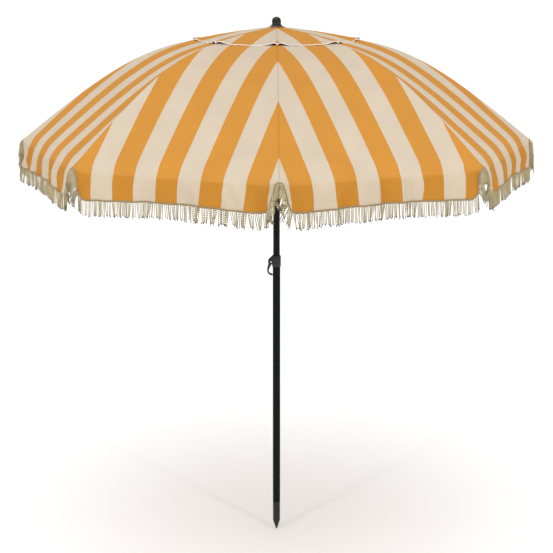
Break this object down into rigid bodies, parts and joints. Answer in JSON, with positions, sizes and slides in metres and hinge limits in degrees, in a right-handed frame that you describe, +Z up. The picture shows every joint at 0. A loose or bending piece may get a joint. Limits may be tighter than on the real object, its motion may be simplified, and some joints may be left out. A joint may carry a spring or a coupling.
{
  "type": "beach umbrella",
  "caption": "Striped beach umbrella with a vented ribbed canopy, a scalloped valance with a twisted fringe, and a two-part pole with a clamp lever and a ground spike.",
  "frame": {"origin": "the point of the ground spike, on the axis of the pole", "axes": "+Z up along the pole; -Y towards rib_1; -X towards the clamp lever"},
  "size_m": [2.091, 2.091, 2.2213],
  "materials": {
    "pole_steel": "satin",
    "rib_steel": "satin",
    "black_plastic": "satin",
    "finial_plastic": "gloss",
    "bare_steel": "satin",
    "cloth": "matte",
    "fringe": "matte"
  },
  "bodies": {
    "base": {"lower_pole": "pole_steel", "ground_spike": "black_plastic", "clamp_collar": "black_plastic", "clamp_pin": "bare_steel"},
    "lever": {"clamp_lever": "black_plastic"},
    "pole_slide": {"pole_bush": "black_plastic"},
    "mast": {"upper_pole": "pole_steel", "crown": "black_plastic", "crown_wire": "bare_steel", "crown_patch": "cloth", "top_washer": "finial_plastic", "finial": "finial_plastic", "catch_spring": "bare_steel"},
    "runner": {"runner": "black_plastic"},
    "catch": {"runner_catch": "bare_steel"},
    "rib_1": {"rib_1": "rib_steel", "canopy_1": "cloth", "vent_flap_1": "cloth"},
    "strut_1": {"strut_1": "rib_steel"},
    "valance_1": {"valance_1": "fringe"},
    "rib_2": {"rib_2": "rib_steel", "canopy_2": "cloth", "vent_flap_2": "cloth"},
    "strut_2": {"strut_2": "rib_steel"},
    "valance_2": {"valance_2": "fringe"},
    "rib_3": {"rib_3": "rib_steel", "canopy_3": "cloth", "vent_flap_3": "cloth"},
    "strut_3": {"strut_3": "rib_steel"},
    "valance_3": {"valance_3": "fringe"},
    "rib_4": {"rib_4": "rib_steel", "canopy_4": "cloth", "vent_flap_4": "cloth"},
    "strut_4": {"strut_4": "rib_steel"},
    "valance_4": {"valance_4": "fringe"},
    "rib_5": {"rib_5": "rib_steel", "canopy_5": "cloth", "vent_flap_5": "cloth"},
    "strut_5": {"strut_5": "rib_steel"},
    "valance_5": {"valance_5": "fringe"},
    "rib_6": {"rib_6": "rib_steel", "canopy_6": "cloth", "vent_flap_6": "cloth"},
    "strut_6": {"strut_6": "rib_steel"},
    "valance_6": {"valance_6": "fringe"},
    "rib_7": {"rib_7": "rib_steel", "canopy_7": "cloth", "vent_flap_7": "cloth"},
    "strut_7": {"strut_7": "rib_steel"},
    "valance_7": {"valance_7": "fringe"},
    "rib_8": {"rib_8": "rib_steel", "canopy_8": "cloth", "vent_flap_8": "cloth"},
    "strut_8": {"strut_8": "rib_steel"},
    "valance_8": {"valance_8": "fringe"}
  },
  "joints": [
    {"name": "clamp_lever_swing", "type": "hinge", "parent": "base", "child": "lever", "pos_m": [-0.0228, 0, 1.211], "axis": [0, 1, 0], "range_deg": [0, 90]},
    {"name": "pole_height", "type": "slide", "parent": "base", "child": "pole_slide", "axis": [0, 0, 1], "range_m": [-0.15, 0.2]},
    {"name": "pole_turn", "type": "hinge", "parent": "pole_slide", "child": "mast", "pos_m": [0, 0, 0.88], "axis": [0, 0, 1], "continuous": true},
    {"name": "canopy_fold", "type": "slide", "parent": "mast", "child": "runner", "axis": [0, 0, 1], "range_m": [-0.4394, 0]},
    {"name": "catch_press", "type": "slide", "parent": "mast", "child": "catch", "axis": [-1, 0, 0], "range_m": [0, 0.0042], "stiffness_N_per_m": 800, "springref_m": -0.001, "deforming": ["catch_spring"]},
    {"name": "rib_1_hinge", "type": "hinge", "parent": "mast", "child": "rib_1", "pos_m": [0, -0.022, 2.16], "axis": [1, 0, 0], "range_deg": [0, 62.55], "deforming": ["canopy_1", "vent_flap_1"]},
    {"name": "strut_1_hinge", "type": "hinge", "parent": "rib_1", "child": "strut_1", "pos_m": [0, -0.35847, 2.11157], "axis": [1, 0, 0], "range_deg": [-105.46, 0]},
    {"name": "valance_1_hinge", "type": "hinge", "parent": "rib_1", "child": "valance_1", "pos_m": [0, -1.0425, 1.7255], "axis": [1, 0, 0], "range_deg": [-40.05, 0], "deforming": ["valance_1"]},
    {"name": "rib_2_hinge", "type": "hinge", "parent": "mast", "child": "rib_2", "pos_m": [0.01556, -0.01556, 2.16], "axis": [0.7071, 0.7071, 0], "range_deg": [0, 62.55], "deforming": ["canopy_2", "vent_flap_2"]},
    {"name": "strut_2_hinge", "type": "hinge", "parent": "rib_2", "child": "strut_2", "pos_m": [0.25348, -0.25348, 2.11157], "axis": [0.7071, 0.7071, 0], "range_deg": [-105.46, 0]},
    {"name": "valance_2_hinge", "type": "hinge", "parent": "rib_2", "child": "valance_2", "pos_m": [0.73716, -0.73716, 1.7255], "axis": [0.7071, 0.7071, 0], "range_deg": [-40.05, 0], "deforming": ["valance_2"]},
    {"name": "rib_3_hinge", "type": "hinge", "parent": "mast", "child": "rib_3", "pos_m": [0.022, 0, 2.16], "axis": [0, 1, 0], "range_deg": [0, 62.55], "deforming": ["canopy_3", "vent_flap_3"]},
    {"name": "strut_3_hinge", "type": "hinge", "parent": "rib_3", "child": "strut_3", "pos_m": [0.35847, 0, 2.11157], "axis": [0, 1, 0], "range_deg": [-105.46, 0]},
    {"name": "valance_3_hinge", "type": "hinge", "parent": "rib_3", "child": "valance_3", "pos_m": [1.0425, 0, 1.7255], "axis": [0, 1, 0], "range_deg": [-40.05, 0], "deforming": ["valance_3"]},
    {"name": "rib_4_hinge", "type": "hinge", "parent": "mast", "child": "rib_4", "pos_m": [0.01556, 0.01556, 2.16], "axis": [-0.7071, 0.7071, 0], "range_deg": [0, 62.55], "deforming": ["canopy_4", "vent_flap_4"]},
    {"name": "strut_4_hinge", "type": "hinge", "parent": "rib_4", "child": "strut_4", "pos_m": [0.25348, 0.25348, 2.11157], "axis": [-0.7071, 0.7071, 0], "range_deg": [-105.46, 0]},
    {"name": "valance_4_hinge", "type": "hinge", "parent": "rib_4", "child": "valance_4", "pos_m": [0.73716, 0.73716, 1.7255], "axis": [-0.7071, 0.7071, 0], "range_deg": [-40.05, 0], "deforming": ["valance_4"]},
    {"name": "rib_5_hinge", "type": "hinge", "parent": "mast", "child": "rib_5", "pos_m": [0, 0.022, 2.16], "axis": [-1, 0, 0], "range_deg": [0, 62.55], "deforming": ["canopy_5", "vent_flap_5"]},
    {"name": "strut_5_hinge", "type": "hinge", "parent": "rib_5", "child": "strut_5", "pos_m": [0, 0.35847, 2.11157], "axis": [-1, 0, 0], "range_deg": [-105.46, 0]},
    {"name": "valance_5_hinge", "type": "hinge", "parent": "rib_5", "child": "valance_5", "pos_m": [0, 1.0425, 1.7255], "axis": [-1, 0, 0], "range_deg": [-40.05, 0], "deforming": ["valance_5"]},
    {"name": "rib_6_hinge", "type": "hinge", "parent": "mast", "child": "rib_6", "pos_m": [-0.01556, 0.01556, 2.16], "axis": [-0.7071, -0.7071, 0], "range_deg": [0, 62.55], "deforming": ["canopy_6", "vent_flap_6"]},
    {"name": "strut_6_hinge", "type": "hinge", "parent": "rib_6", "child": "strut_6", "pos_m": [-0.25348, 0.25348, 2.11157], "axis": [-0.7071, -0.7071, 0], "range_deg": [-105.46, 0]},
    {"name": "valance_6_hinge", "type": "hinge", "parent": "rib_6", "child": "valance_6", "pos_m": [-0.73716, 0.73716, 1.7255], "axis": [-0.7071, -0.7071, 0], "range_deg": [-40.05, 0], "deforming": ["valance_6"]},
    {"name": "rib_7_hinge", "type": "hinge", "parent": "mast", "child": "rib_7", "pos_m": [-0.022, 0, 2.16], "axis": [0, -1, 0], "range_deg": [0, 62.55], "deforming": ["canopy_7", "vent_flap_7"]},
    {"name": "strut_7_hinge", "type": "hinge", "parent": "rib_7", "child": "strut_7", "pos_m": [-0.35847, 0, 2.11157], "axis": [0, -1, 0], "range_deg": [-105.46, 0]},
    {"name": "valance_7_hinge", "type": "hinge", "parent": "rib_7", "child": "valance_7", "pos_m": [-1.0425, 0, 1.7255], "axis": [0, -1, 0], "range_deg": [-40.05, 0], "deforming": ["valance_7"]},
    {"name": "rib_8_hinge", "type": "hinge", "parent": "mast", "child": "rib_8", "pos_m": [-0.01556, -0.01556, 2.16], "axis": [0.7071, -0.7071, 0], "range_deg": [0, 62.55], "deforming": ["canopy_8", "vent_flap_8"]},
    {"name": "strut_8_hinge", "type": "hinge", "parent": "rib_8", "child": "strut_8", "pos_m": [-0.25348, -0.25348, 2.11157], "axis": [0.7071, -0.7071, 0], "range_deg": [-105.46, 0]},
    {"name": "valance_8_hinge", "type": "hinge", "parent": "rib_8", "child": "valance_8", "pos_m": [-0.73716, -0.73716, 1.7255], "axis": [0.7071, -0.7071, 0], "range_deg": [-40.05, 0], "deforming": ["valance_8"]}
  ],
  "couplings": [
    {"joint": "rib_1_hinge", "follows": "canopy_fold", "rad_per_m": -2.4825},
    {"joint": "strut_1_hinge", "follows": "canopy_fold", "rad_per_m": 4.187},
    {"joint": "valance_1_hinge", "follows": "canopy_fold", "rad_per_m": 1.5888},
    {"joint": "rib_2_hinge", "follows": "canopy_fold", "rad_per_m": -2.4825},
    {"joint": "strut_2_hinge", "follows": "canopy_fold", "rad_per_m": 4.187},
    {"joint": "valance_2_hinge", "follows": "canopy_fold", "rad_per_m": 1.5888},
    {"joint": "rib_3_hinge", "follows": "canopy_fold", "rad_per_m": -2.4825},
    {"joint": "strut_3_hinge", "follows": "canopy_fold", "rad_per_m": 4.187},
    {"joint": "valance_3_hinge", "follows": "canopy_fold", "rad_per_m": 1.5888},
    {"joint": "rib_4_hinge", "follows": "canopy_fold", "rad_per_m": -2.4825},
    {"joint": "strut_4_hinge", "follows": "canopy_fold", "rad_per_m": 4.187},
    {"joint": "valance_4_hinge", "follows": "canopy_fold", "rad_per_m": 1.5888},
    {"joint": "rib_5_hinge", "follows": "canopy_fold", "rad_per_m": -2.4825},
    {"joint": "strut_5_hinge", "follows": "canopy_fold", "rad_per_m": 4.187},
    {"joint": "valance_5_hinge", "follows": "canopy_fold", "rad_per_m": 1.5888},
    {"joint": "rib_6_hinge", "follows": "canopy_fold", "rad_per_m": -2.4825},
    {"joint": "strut_6_hinge", "follows": "canopy_fold", "rad_per_m": 4.187},
    {"joint": "valance_6_hinge", "follows": "canopy_fold", "rad_per_m": 1.5888},
    {"joint": "rib_7_hinge", "follows": "canopy_fold", "rad_per_m": -2.4825},
    {"joint": "strut_7_hinge", "follows": "canopy_fold", "rad_per_m": 4.187},
    {"joint": "valance_7_hinge", "follows": "canopy_fold", "rad_per_m": 1.5888},
    {"joint": "rib_8_hinge", "follows": "canopy_fold", "rad_per_m": -2.4825},
    {"joint": "strut_8_hinge", "follows": "canopy_fold", "rad_per_m": 4.187},
    {"joint": "valance_8_hinge", "follows": "canopy_fold", "rad_per_m": 1.5888}
  ]
}
